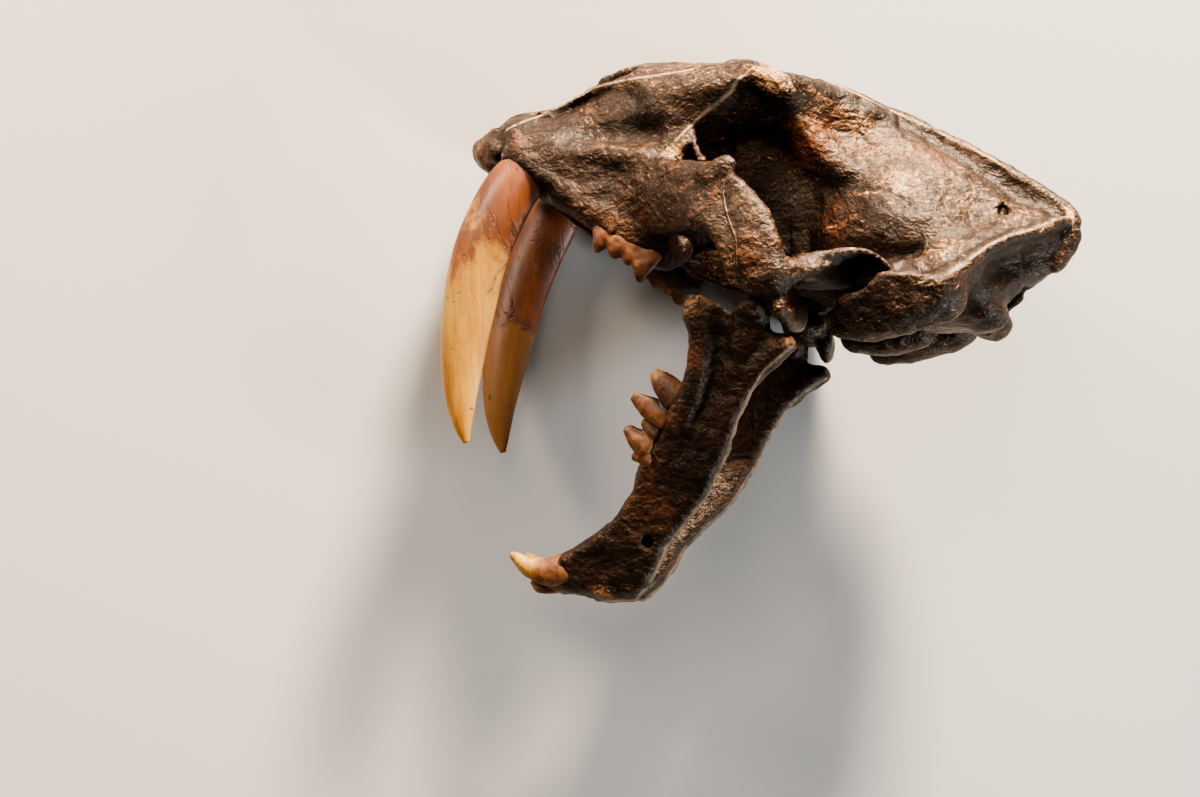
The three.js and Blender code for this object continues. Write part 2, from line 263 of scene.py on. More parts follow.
def fired(name, clay, pale, rust, relief):
    """Turns the clay into a mesh piece of the skull, with marks on it that its finish reads."""
    field, axes = clay.whole()
    x, y, z = (a.astype(np.float32) for a in axes)
    depth = DOWN.x * x[:, None, None] + DOWN.y * y[None, :, None] + DOWN.z * z[None, None, :]
    field = np.maximum(field, depth - (REST_DISTANCE - FLOOR_GAP))
    grid = openvdb.FloatGrid(FAR)
    grid.copyFromArray(np.ascontiguousarray(field.astype(np.float32)))
    points, quads = grid.convertToQuads(isovalue=0.0)
    points = np.asarray(points, float) * clay.grain + np.array([a[0] for a in axes])
    quads = np.asarray(quads)[:, ::-1]

    def read(place):
        return sample(field, axes, clay.grain, place)

    normal = np.column_stack([read(points + way) - read(points - way) for way in np.eye(3) * clay.grain])
    normal /= np.linalg.norm(normal, axis=1)[:, None] + 1e-9
    # Painted shade: the closer the clay lies round a point, as in recesses and under overhangs, the darker
    # its colour is painted.
    hollow_shade = 0
    for reach in HOLLOW_REACHES:
        hollow_shade = hollow_shade + np.clip(1 - read(points + normal * reach) / reach, 0, 2) / len(HOLLOW_REACHES)

    edges = np.concatenate([quads[:, [0, 1]], quads[:, [1, 2]], quads[:, [2, 3]], quads[:, [3, 0]]])
    count = np.bincount(edges[:, 0], minlength=len(points)) + 1e-9

    def spread(values):
        return np.bincount(edges[:, 0], values[edges[:, 1]], minlength=len(points)) / count

    # bend of the surface: how far each point stands out from its neighbours
    # The finishes paint the points that stand out lighter: painted highlight on ridges, together with
    # wear.
    mean = np.column_stack([spread(points[:, k]) for k in range(3)])
    bend = np.einsum("ij,ij->i", points - mean, normal) / clay.grain
    for _ in range(3):
        bend = 0.5 * bend + 0.5 * spread(bend)

    points = points + normal * relief(points)[:, None]
    under = points @ np.array(DOWN) - (REST_DISTANCE - FLOOR_GAP)
    points = points - np.clip(under, 0, None)[:, None] * np.array(DOWN)
    world = np.array(skull_to_frame)
    placed = points @ world[:3, :3].T + world[:3, 3]
    placed = np.clip(placed, np.array(cad_box[0]) + BOX_MARGIN, np.array(cad_box[1]) - BOX_MARGIN)
    mesh = bpy.data.meshes.new(name)
    mesh.vertices.add(len(placed))
    mesh.vertices.foreach_set("co", placed.astype(np.float32).ravel())
    mesh.loops.add(quads.size)
    mesh.loops.foreach_set("vertex_index", quads.astype(np.int32).ravel())
    mesh.polygons.add(len(quads))
    mesh.polygons.foreach_set("loop_start", np.arange(0, quads.size, 4, dtype=np.int32))
    mesh.polygons.foreach_set("use_smooth", np.ones(len(quads), bool))
    mesh.update(calc_edges=True)

    marks = {
        "hollow_shade": hollow_shade,
        "bend": bend * BEND_GAIN,
        "pale": blobs(points, pale),
        "rust": blobs(points, rust),
        "stain": blobs(points, DARK_BONE_AND_SHADE),
        "seam": beside(points, SUTURE, SUTURE_SIDE),
        "edge": np.min([np.abs(beside(points, line, start)) for start, line in EDGE_HIGHLIGHTS], axis=0),
        "crest_shade": beside(points, CREST_EDGE, ANY_SIDE),
    }
    for mark, values in marks.items():
        attribute = mesh.attributes.new(mark, "FLOAT", "POINT")
        attribute.data.foreach_set("value", values.astype(np.float32))
    piece = bpy.data.objects.new(name, mesh)
    bpy.context.scene.collection.objects.link(piece)
    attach(piece, "root")
    return piece


skull = Clay((-170, -45), (168, 150, 112), CRANIUM_GRAIN)
add = skull.limb

# muzzle and face, to the line over the orbit
skull.body([
    [-139, 96, 24, 10, 2.4, -0.1], [-132, 95, 32, 14, 2.6, -0.2], [-122, 91.5, 37.5, 18, 2.8, -0.26],
    [-110, 88.5, 39.5, 22.5, 2.8, -0.28], [-98, 87.5, 41, 27, 2.8, -0.28],
    [-86, 89, 40.5, 33, 2.7, -0.24], [-74, 89, 41, 40, 2.6, -0.14], [-60, 86.5, 42.5, 45, 2.6, -0.06],
    [-48, 83, 44, 48, 2.5, 0], [-36, 82, 43, 48, 2.4, 0.05], [-24, 84, 40, 46, 2.4, 0.1]], 4)
add([[-118, 76, 34, 7, 10], [-104, 71, 36, 8, 14], [-88, 66, 38, 9, 18], [-72, 62, 40, 9, 22],
     [-56, 58, 43, 9, 24], [-44, 56, 47, 8, 22]], 6)
# forehead
skull.body([
    [-80, 121, 24, 8, 2.4, -0.2], [-64, 119.5, 36, 12, 2.5, -0.25], [-48, 115.5, 42, 15, 2.5, -0.25],
    [-32, 114.5, 45.5, 14, 2.4, -0.2], [-16, 114, 48, 12, 2.3, -0.18], [0, 112.5, 50, 10, 2.3, -0.2],
    [10, 111, 44, 9, 2.2, -0.25], [20, 108, 33, 10, 2.2, -0.2], [30, 105, 24, 12, 2.2, 0],
    [42, 99, 15, 12, 2.2, 0], [54, 94, 8, 8, 2.2, 0]], 6)
# the face rises to the rim of the orbit, from the cheek up to the forehead
add([[-58, 76, 43, 8, 14], [-50, 86, 41.5, 8, 14], [-42, 94, 41, 8, 14], [-31, 101, 41.5, 8, 13],
     [-19, 107, 42.5, 7, 10], [-8, 112, 43, 6, 7]], 12)
# the orbit, hollowed out of the side of the head up to its rim
add([[-22, 58, 58, 36, 22], [-12.5, 75.5, 58, 37, 23.8], [-3, 88.6, 58, 38, 20.5],
     [5, 94.4, 58, 38, 16.5]], 1, cut=True)
add([[-8, 72, 56, 34, 24], [22, 80, 58, 34, 22], [44, 74, 62, 36, 24]], 5, cut=True)
# wall between the orbits
skull.body([
    [-52, 78, 30, 46, 2.4, 0], [-40, 78, 24, 46, 2.4, 0], [-26, 78, 20, 48, 2.4, 0.1],
    [-12, 74, 17, 50, 2.3, 0.1], [6, 68, 16, 48, 2.2, 0], [22, 62, 18, 44, 2.2, -0.1],
    [36, 56, 24, 40, 2.2, -0.1]], 7)
# slope of the orbit's roof, down from its rim to that wall
add([[-38, 104, 22, 14, 12], [-22, 103, 22, 15, 13], [-6, 104, 22, 16, 12], [8, 102, 20, 16, 12]], 10)
# braincase
skull.body([
    [22, 46, 16, 32, 2.2, -0.2], [33, 47, 27, 36, 2.2, -0.28], [46, 48, 35, 38, 2.2, -0.3],
    [60, 47, 40, 38, 2.2, -0.32], [76, 43, 41, 35, 2.2, -0.3], [92, 35, 38, 30, 2.2, -0.25],
    [106, 26, 30, 24, 2.2, -0.15], [116, 20, 20, 17, 2.2, 0]], 5)
# front edge of the braincase, where the hollow of the temple ends
add([[30, 64, 40, 16, 9], [22, 55, 42, 19, 12], [15, 44, 44, 20, 12.5],
     [12, 34, 47, 20, 12.5]], 1.5, cut=True)
# wall of the temple behind the orbit, with the ridge that divides them
add([[7, 107, 18, 25, 7], [15, 99, 16, 22, 8], [22, 89, 14, 20.6, 10], [30, 78, 13, 19.4, 12],
     [42, 67, 13, 19.4, 12]], 6)
# wall under the sagittal crest, and the crest
add([[30, 88, 0, 14, 23], [44, 81, 0, 15, 22.6], [62, 71, 0, 17, 21.4], [80, 61, 0, 18, 19.6],
     [98, 51.4, 0, 19, 16], [116, 41.4, 0, 20, 11.6], [130, 34.4, 0, 16, 8.4]], 14)
add([[44, 100, 0, 3, 10], [68, 91, 0, 2.2, 10], [92, 77, 0, 2.2, 10], [115, 62, 0, 2.2, 11],
     [134, 49, 0, 2.8, 9], [144, 42, 0, 3.6, 7]], 6)
add([[14, 119, 0, 3.5], [30, 115.5, 0, 2.6], [44.5, 109.6, 0, 2.2], [67.5, 99.4, 0, 2], [85, 90, 0, 2],
     [110, 75.4, 0, 2.2], [128, 62.6, 0, 2.5], [142, 52.4, 0, 3], [148, 45.5, 0, 3.8], [149, 38, 0, 4.4],
     [146.5, 30, 0, 4.2], [142, 23, 0, 3.2]], 2)
# nuchal crest: its edge, and the slope on either side of it
add([[130, 38, 8, 8, 8], [121, 33, 18.6, 8, 8], [111, 27.6, 29.4, 8, 8], [100, 21, 39.4, 8, 8],
     [90, 13, 47, 8, 8]], 10, side=(0.5, 0.3, 0.8))
add([[52, 13, 45, 8, 7], [66, 12, 46.4, 8, 7], [82, 11, 46.4, 8, 8], [98, 12, 43, 8, 8]], 8)
add([[147.5, 43, 3, 2.4], [140.5, 39.4, 14, 2], [131.5, 33.4, 26, 1.9], [120.5, 28.8, 37, 1.9],
     [110, 22.2, 47, 2], [101.5, 14, 54, 2.4], [93, 8, 60, 3]], 3)
add([[138, 36, 5, 4, 9], [127, 31, 19, 3.4, 9], [115, 26, 30, 3.4, 9], [104, 18, 40, 4, 10],
     [94, 9, 48, 5, 11], [84, 2, 54, 6, 12]], 5, side=(0.45, -0.75, 0.1))
# occiput and its condyles
skull.body([
    [90, 14, 46, 20, 2.6, 0.05], [102, 10, 40, 17, 2.6, 0], [110, 10, 32, 15, 2.4, -0.1],
    [118, 14, 22, 13, 2.3, -0.1], [128, 20, 12, 10, 2.2, 0], [138, 26, 6, 8, 2.2, 0]], 6)
add([[106, -5, 9, 8, 7], [110, -5, 17, 8, 8], [106, -2, 25, 6, 6.5]], 4, side=(0, 1, 0))
# base of the skull and the swelling of the ear
skull.body([
    [-6, 34, 12, 12, 2.4, 0], [20, 22, 14, 13, 2.4, 0], [50, 12, 22, 14, 2.4, 0], [80, 6, 30, 15, 2.4, 0],
    [100, 3, 26, 12, 2.4, 0]], 6)
add([[40, -7, 28, 9, 9], [54, -8, 29, 11, 9.5], [70, -6, 30, 10, 8.5]], 4)
# mastoid, a plate that leans out over the ear
MASTOID = [
    [40, -3], [43, 1], [48, 4.5], [55, 8], [62, 10], [72, 10.4], [82, 8.6], [92, 8], [98, 3], [97, -5],
    [91, -9.5], [81, -13], [69, -17.4], [60, -19.4], [52, -19.6], [46, -17.4], [42, -12], [39.5, -7]]
MASTOID_HALF = 6.0  # half its thickness, and the rounding of its edge


def mastoid_middle(x, y):
    return 60 + 0.42 * (y + 4.6) - 0.006 * np.clip(x - 62, 0, 99) ** 2


skull.plate(MASTOID, mastoid_middle, lambda x, y: MASTOID_HALF, MASTOID_HALF, 4)
add([[52, -4, 50, 9, 11], [72, -3, 50, 12, 13], [88, 0, 50, 12, 12]], 6)
# shelf from the braincase out to the cheekbone
add([[26, 15.6, 75, 2.6, 3], [40, 19.4, 70.4, 2.1, 3], [53, 20, 64.6, 2, 3], [61, 16, 60.4, 2, 3.6],
     [66, 10, 57.4, 2.4, 4]], 2.4, side=(0, 1, 0))
add([[30, 14, 32, 24, 6], [30, 14, 50, 22, 6], [28, 13, 62, 19, 5], [20, 11, 74, 13, 6],
     [14, 9, 83, 8, 9]], 5, side=(1, 0, 0))
add([[38, 17.4, 58, 13, 2.4], [48, 18.6, 56, 10.5, 2.4], [56, 17.6, 55, 8, 2.4], [62, 14.4, 55, 5, 3]], 3)
# seat of the jaw's hinge and the lip behind it
add([[12, 1, 42, 7, 10], [11, 0, 60, 7, 10], [10, 2, 74, 7, 10], [9, 4, 83, 6, 10]], 5, side=(0, 1, 0))
add([[21, -6, 48, 4, 8], [20, -8, 60, 4, 8.5], [18, -7, 72, 4, 8], [16, -4, 80, 4, 7]], 3, side=(1, 0, 0))
# cheekbone: the strip that the squamosal gives
add([[-5, 54, 80.4, 2.8, 3], [0.5, 43, 83, 3.6, 7.4], [4.5, 31, 85.4, 4.4, 10.4],
     [7, 18, 86.4, 4.6, 11.8], [9, 6, 83, 5, 12]], 3)
# cheekbone: jugal, with its upper process and the lower rim of the orbit
add([[-60, 52, 43, 8, 18], [-48, 53, 53, 7, 19], [-36, 51.5, 63.5, 5.5, 18], [-25, 49.5, 72, 4.6, 16.5],
     [-16, 45.5, 77.5, 4.2, 15.5]], 5)
add([[-18, 45, 77.4, 4.4, 15], [-11.5, 38, 80.6, 4.2, 11], [-8, 27, 83, 4, 6.8], [-5.6, 15, 85, 3.4, 4.4],
     [-4.5, 6, 84, 2.6, 2.6]], 3)
add([[-17, 54, 76.6, 4.4, 9], [-11.5, 59.5, 78.4, 4.6, 6.4], [-8, 62.6, 79, 4.2, 4.4]], 3)
add([[-44, 69, 54, 4, 3.6], [-37, 65, 61, 3], [-26, 63, 68, 2.8], [-15, 61.5, 75, 3]], 3)
# rim of the orbit from the cheek up to the forehead, and the process behind the eye
add([[-10, 118, 38, 8, 6], [-2, 115.2, 45, 7.4, 5.6], [6, 111, 50, 5.6, 5.4], [13, 105.6, 52, 4.2, 5],
     [18, 102, 52, 2.8, 3.2]], 2.4)
add([[9, 108.6, 47, 4, 4.2], [16, 108.8, 42, 3.6, 3.8], [24, 108.6, 35, 4, 3.8]], 4)
add([[11, 108, 44, 5, 4], [19, 107.5, 30, 8, 6], [31, 104, 17, 9, 9], [46, 98, 8, 8, 9]], 10)
# edge of the upper jaw that carries the cheek teeth, and the swelling behind them
add([[-98, 60, 41, 7, 7], [-84, 52, 43, 7, 8], [-70, 42.5, 45.5, 6, 8.5], [-56, 34.5, 46, 6, 8],
     [-47, 32, 43, 7, 7]], 4)
add([[-53, 28, 40, 7.6, 7.4], [-46, 27, 38, 7.4, 7], [-41, 31, 34, 6.6, 7.4]], 3)
# ridge over the root of the canine
add([[-126, 79, 38, 6, 9], [-112, 80.5, 40, 6.6, 12], [-98, 80, 41, 6, 11], [-82, 79.5, 42.4, 5, 7],
     [-68, 77.5, 44, 4.4, 5]], 6)
add([[-124, 92, 39, 4, 4], [-118.6, 81, 43.4, 4.6, 4.6], [-112, 72.4, 44, 4.6, 4.6],
     [-104, 66.4, 44, 4.4, 4.4], [-94, 61, 43, 4.6, 5]], 3)
# premaxilla, and the nasal bones
add([[-147.5, 92, 9, 9, 8], [-144, 90, 18, 7, 7.5], [-137, 89, 26, 6, 8]], 4)
add([[-147.5, 87.5, 6, 7, 5.6], [-144, 85, 15, 7, 5.5]], 3)
add([[-136.5, 106.6, 2, 12, 2.2], [-126, 108.6, 2, 17, 2.6], [-112, 109.6, 0, 19, 3.6],
     [-98, 112, 0, 20, 5.6]], 3)
# pterygoids
add([[-44, 34, 16, 2.5, 8], [-28, 28, 15, 2, 9], [-12, 21, 14, 2, 8], [2, 15, 14, 2, 5]], 3)

# ridge from the nose's edge to the corner of the forehead, with a shallow trough above it
add([[-132, 96.5, 25, 1.6], [-123, 100.5, 26, 1.7], [-111, 105, 27, 1.8], [-98, 110.5, 28, 1.8],
     [-86, 115.4, 29.5, 2], [-72, 117, 33, 2], [-50, 117.4, 37, 2], [-31, 118.8, 40, 2],
     [-12, 118.6, 43, 2]], 3)
add([[-118, 108.5, 21, 5, 2.2], [-102, 114, 22, 5, 2.4], [-84, 122, 24, 5, 2.6],
     [-66, 124, 29, 6, 2.4]], 4, side=(0, 0.5, 0.85), cut=True)
# the hollow of the face over the ridge of the canine's root
add([[-94, 91, 48, 7, 6], [-80, 91.4, 49.4, 9.4, 8.4], [-65, 90, 50.4, 9.8, 9],
     [-52, 87.6, 52.4, 7.4, 7.4]], 6, cut=True)
add([[-92, 80, 40, 4, 5], [-80, 78.4, 42.8, 4, 4.6], [-66, 76, 45.4, 4, 4.2], [-54, 73.6, 48, 4, 4]], 5)
# side of the nasal opening
add([[-144, 101, 24, 4, 4], [-138.5, 97, 30, 3, 5], [-135, 92, 33, 3, 4]], 2, cut=True)
# nasal opening, foramen magnum and palate
skull.body([
    [-156, 98, 10, 6, 2.2, 0.2], [-146, 98.5, 14, 7.5, 2.2, 0.2], [-134, 97.5, 19, 8.4, 2.4, 0.1],
    [-122, 96, 19, 9.4, 2.4, 0], [-106, 95, 14, 7, 2.2, 0]], 2, cut=True)
add([[122, 2, 0, 11, 10], [106, 4, 0, 10, 9], [88, 8, 0, 9, 9]], 2, cut=True)
add([[-150, 75, 0, 14, 5], [-112, 56, 0, 24, 7], [-82, 40, 0, 28, 8], [-62, 28, 0, 28, 8]], 4, cut=True)
# hollow of the ear under the shelf
add([[30, 4, 74, 6, 9], [42, 6.5, 68, 7, 9.5], [54, 8, 62, 6, 7.5],
     [61, 6, 57, 5, 6]], 2.5, side=(0, 1, 0), cut=True)
# hole in the front wall of the orbit, with a scoop before it and a strut across
add([[-36.5, 73.6, 61, 6.2, 5.6], [-32, 73, 53, 5, 5]], 2, side=(0, 1, 0), cut=True)
add([[-29, 73.5, 58, 4, 5], [-33, 75, 40, 4, 5]], 1.2, side=(0, 1, 0), cut=True)
add([[-43, 79.4, 47.4, 3.4], [-38, 81.6, 48.6, 2.8], [-33, 86, 48, 2.4]], 3)
add([[-32, 86, 48.4, 2.2], [-28.6, 78, 53, 1.5], [-24, 69, 59, 2.2]], 2)
add([[-41, 71, 50, 4, 4], [-38, 77, 50.5, 4, 4], [-34, 82, 50, 3.4, 3.4]], 2)
# pit in the wall under the crest
add([[117, 50, 34, 3.6, 4.8], [116.5, 46, 16, 3, 4]], 1.5, side=(1, 0, 0), cut=True)

# spots [x, y, z, radius, amount]: pale ones, partly pale bone and partly painted highlights where light
# falls; rusty ones; and dark ones, partly black stain and partly painted shade in hollows and under
# overhangs
PALE_BONE_AND_HIGHLIGHTS = [
    [98, 58, 20, 30, 0.5], [70, 62, 36, 17, 0.75], [44, 92, 20, 18, 0.7], [27, 102, 32, 13, 0.9],
    [0, 84, 20, 26, 0.5], [-24, 78, 34, 18, 0.35], [-126, 109, 4, 14, 1.2], [-108, 113, 4, 15, 1.2],
    [-62, 130, 6, 22, 1.1], [-38, 128, 8, 20, 1.1], [56, 82, 16, 18, 0.6], [36, 98, 22, 14, 0.5],
    [120, 44, 22, 20, 0.7], [92, 16, 46, 16, 0.8], [30, 16, 55, 16, 0.9], [8, 110, 54, 13, 0.9],
    [146, 44, 4, 10, 0.6], [-40, 74.5, 52, 7, 1.4], [-40, 122, 40, 22, 0.35], [-78, 80, 43, 9, 0.6],
    [-62, 76, 46, 8, 0.7]]
BONE_RUST = [
    [24, 86, 20, 24, 0.9], [34, 44, 34, 18, 0.6], [-24, 34, 66, 18, 0.8], [-118, 86, 40, 12, 0.7],
    [-146, 88, 16, 16, 0.9], [-88, 56, 44, 14, 0.45], [-62, 44, 50, 18, 0.5], [96, 80, 6, 26, 0.7],
    [-74, 110, 36, 22, 0.35], [-28, 60, 72, 18, 0.4], [10, 20, 90, 20, 0.45], [-13, 48, 80, 8, 0.6],
    [38, 54, 32, 14, 0.5], [-12, 76, 22, 34, 0.4], [84, 72, 16, 22, 0.5]]
DARK_BONE_AND_SHADE = [
    [-6, 84, 16, 30, 0.4], [4, 56, 18, 26, 0.8], [-46, 28, 46, 13, 3.0], [-26, 75, 52, 6, 2.0],
    [-112, 106, 21, 5, 1.2], [-96, 111, 23, 5, 1.2], [-126, 101, 20, 5, 1.2], [-27, 50, 70, 16, 0.45],
    [-28, 78, 53, 6, 0.5], [14, 34, 22, 18, 1.2], [-141, 98, 26, 7, 0.8], [-116, 75, 44, 8, 1.2],
    [-107, 67, 45, 8, 1.2], [-97, 62, 45, 7, 1.0], [-124, 90, 38, 5, 1.2], [-102, 82, 42, 24, 0.75],
    [-80, 62, 48, 24, 0.75], [-30, 40, 76, 20, 0.6], [-2, 24, 86, 14, 0.6], [-98, 98, 38, 12, 0.6],
    [50, 6, 60, 16, 1.2], [60, 6, 54, 12, 1.4], [54, 15, 54, 8, 1.6], [-74, 97, 42, 16, 1.0],
    [-58, 98, 43, 13, 1.0], [66, 38, 41, 17, 0.9], [84, 44, 34, 14, 0.6], [118, 12, 30, 34, 1.0]]
SUTURE = [[-6.3, 60], [-6.6, 55.8], [-9.6, 51], [-10.2, 47.8], [-9, 42], [-7.5, 36.8], [-5.6, 31],
          [-3, 25.3], [-2.8, 16], [-2.9, 6]]


ANY_SIDE = -1  # a line with this distance from the middle is drawn on the whole width of the head
CREST_EDGE = [
    [30, 116], [44.5, 110.2], [67.5, 100], [85, 90.6], [110, 76], [128, 63.2], [142, 53], [149, 45],
    [149.5, 37]]
# edges drawn with thin pale lines as painted highlights, each with the distance from the middle that it
# starts at
EDGE_HIGHLIGHTS = [
    (36, [[-46, 73], [-44.8, 75.7], [-36.9, 83.4], [-30.8, 90.6], [-22.4, 98], [-16.2, 103], [-9, 108.4],
          [1, 116.4]]),
    (18, [[-132, 97.5], [-123, 101.5], [-111, 106], [-98, 111.5], [-86, 116.4], [-72, 118], [-50, 118.4],
          [-31, 119.6]]),
    (ANY_SIDE, CREST_EDGE),
    (2, [[147.5, 44], [140.5, 40.4], [131.5, 34.4], [120.5, 29.8], [110, 23.2], [101.5, 15], [93, 9]]),
    (ANY_SIDE, [[20, -24], [12, -29.5], [6, -34], [-1, -42], [-9, -56], [-15, -71], [-22.5, -84],
                [-27, -92], [-39.5, -105], [-50, -116], [-54, -125], [-60, -134.5], [-68, -142],
                [-86, -143]])]


OFF_LINE = 99.0  # distance that stands for a point that the line isn't drawn on


def beside(points, line, start):
    """How far each point beyond `start` from the middle lies to one side of a line drawn on the head."""
    best = np.full(len(points), OFF_LINE)
    for (x0, y0), (x1, y1) in zip(line[:-1], line[1:]):
        dx, dy = x1 - x0, y1 - y0
        t = np.clip(((points[:, 0] - x0) * dx + (points[:, 1] - y0) * dy) / (dx * dx + dy * dy), 0, 1)
        x, y = points[:, 0] - x0 - t * dx, points[:, 1] - y0 - t * dy
        gap = np.hypot(x, y) * np.where(x * dy - y * dx > 0, 1, -1)
        best = np.where(np.abs(gap) < np.abs(best), gap, best)
    return np.where(np.abs(points[:, 2]) > start, best, OFF_LINE)


def bone_relief(points):
    fine = rough(points, 5.5, 1) * 0.45 + rough(points, 3.0, 2) * 0.3
    wrinkle = 0.5 - np.abs(rough(points * (0.6, 1.4, 1.0), 7.0, 3))
    return fine + wrinkle * 0.6 + rough(points, 14.0, 4) * 0.4


cranium = fired("cranium_bone", skull, PALE_BONE_AND_HIGHLIGHTS, BONE_RUST, bone_relief)
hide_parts("cranium")


class Value:
    """A socket of a shader. Arithmetic on it adds the Math nodes that work it out."""

    def __init__(self, finish, socket):
        self.finish, self.socket = finish, socket

    def math(self, operation, *others):
        return self.finish.node("Math", {"operation": operation}, *(self, *others))

    def __add__(self, other):
        return self.math("ADD", other)

    def __sub__(self, other):
        return self.math("SUBTRACT", other)

    def __rsub__(self, other):
        return self.finish.node("Math", {"operation": "SUBTRACT"}, other, self)

    def __mul__(self, other):
        return self.math("MULTIPLY", other)

    __radd__, __rmul__ = __add__, __mul__

    def between(self, low, high):
        """0 below low, 1 above high, and smooth from one to the other."""
        return self.finish.node("MapRange", {"interpolation_type": "SMOOTHSTEP"}, self, low, high)


MIX_SHARE, MIX_ONE, MIX_TWO = 0, 6, 7  # the sockets of a Mix node for colours
MIX_COLOUR = 2  # and its output


class Finish:
    """A procedural material, built one node at a time."""

    def __init__(self, name, **constants):
        self.material = bpy.data.materials.new(name)
        self.material.use_nodes = True
        self.tree = self.material.node_tree
        self.surface = self.tree.nodes["Principled BSDF"]
        for socket, value in constants.items():
            self.surface.inputs[socket.replace("_", " ")].default_value = value
        self.place = self.node("TexCoord", {}, out="Object")

    def node(self, kind, settings, *values, at=None, out=0, **named):
        """Adds a node: its settings, then its sockets in order, by number in `at`, or by name."""
        made = self.tree.nodes.new("ShaderNode" + kind)
        for key, value in settings.items():
            setattr(made, key, value)
        for key, value in [*enumerate(values), *(at or {}).items(), *named.items()]:
            socket = made.inputs[key.replace("_", " ") if isinstance(key, str) else key]
            if isinstance(value, Value):
                self.tree.links.new(value.socket, socket)
            else:
                socket.default_value = value
        return Value(self, made.outputs[out])

    def feed(self, socket, value):
        self.tree.links.new(value.socket, self.surface.inputs[socket])

    def mark(self, name):
        return self.node("Attribute", {"attribute_name": name}, out="Fac")

    def noise(self, scale, detail=4.0, roughness=0.6, distortion=0.0, stretch=None):
        place = self.place
        if stretch:
            place = self.node("Mapping", {}, Vector=place, Scale=stretch)
        return self.node("TexNoise", {}, Vector=place, Scale=scale, Detail=detail,
                         Roughness=roughness, Distortion=distortion)

    def mix(self, share, one, two):
        """One colour where the share is 0, the other where it is 1."""
        one, two = (c if isinstance(c, Value) else (*c, 1.0) for c in (one, two))
        sockets = {MIX_SHARE: share, MIX_ONE: one, MIX_TWO: two}
        return self.node("Mix", {"data_type": "RGBA"}, at=sockets, out=MIX_COLOUR)


BLACK_BONE = (0.012, 0.006, 0.004)
BROWN_BONE = (0.070, 0.029, 0.014)
RED_BONE = (0.15, 0.052, 0.022)
GOLD_BONE = (0.30, 0.145, 0.060)
CREAM_BONE = (0.66, 0.45, 0.27)
GRAIN_STEP = 0.0008  # how far apart the grain is read to tell its upper faces from its lower ones


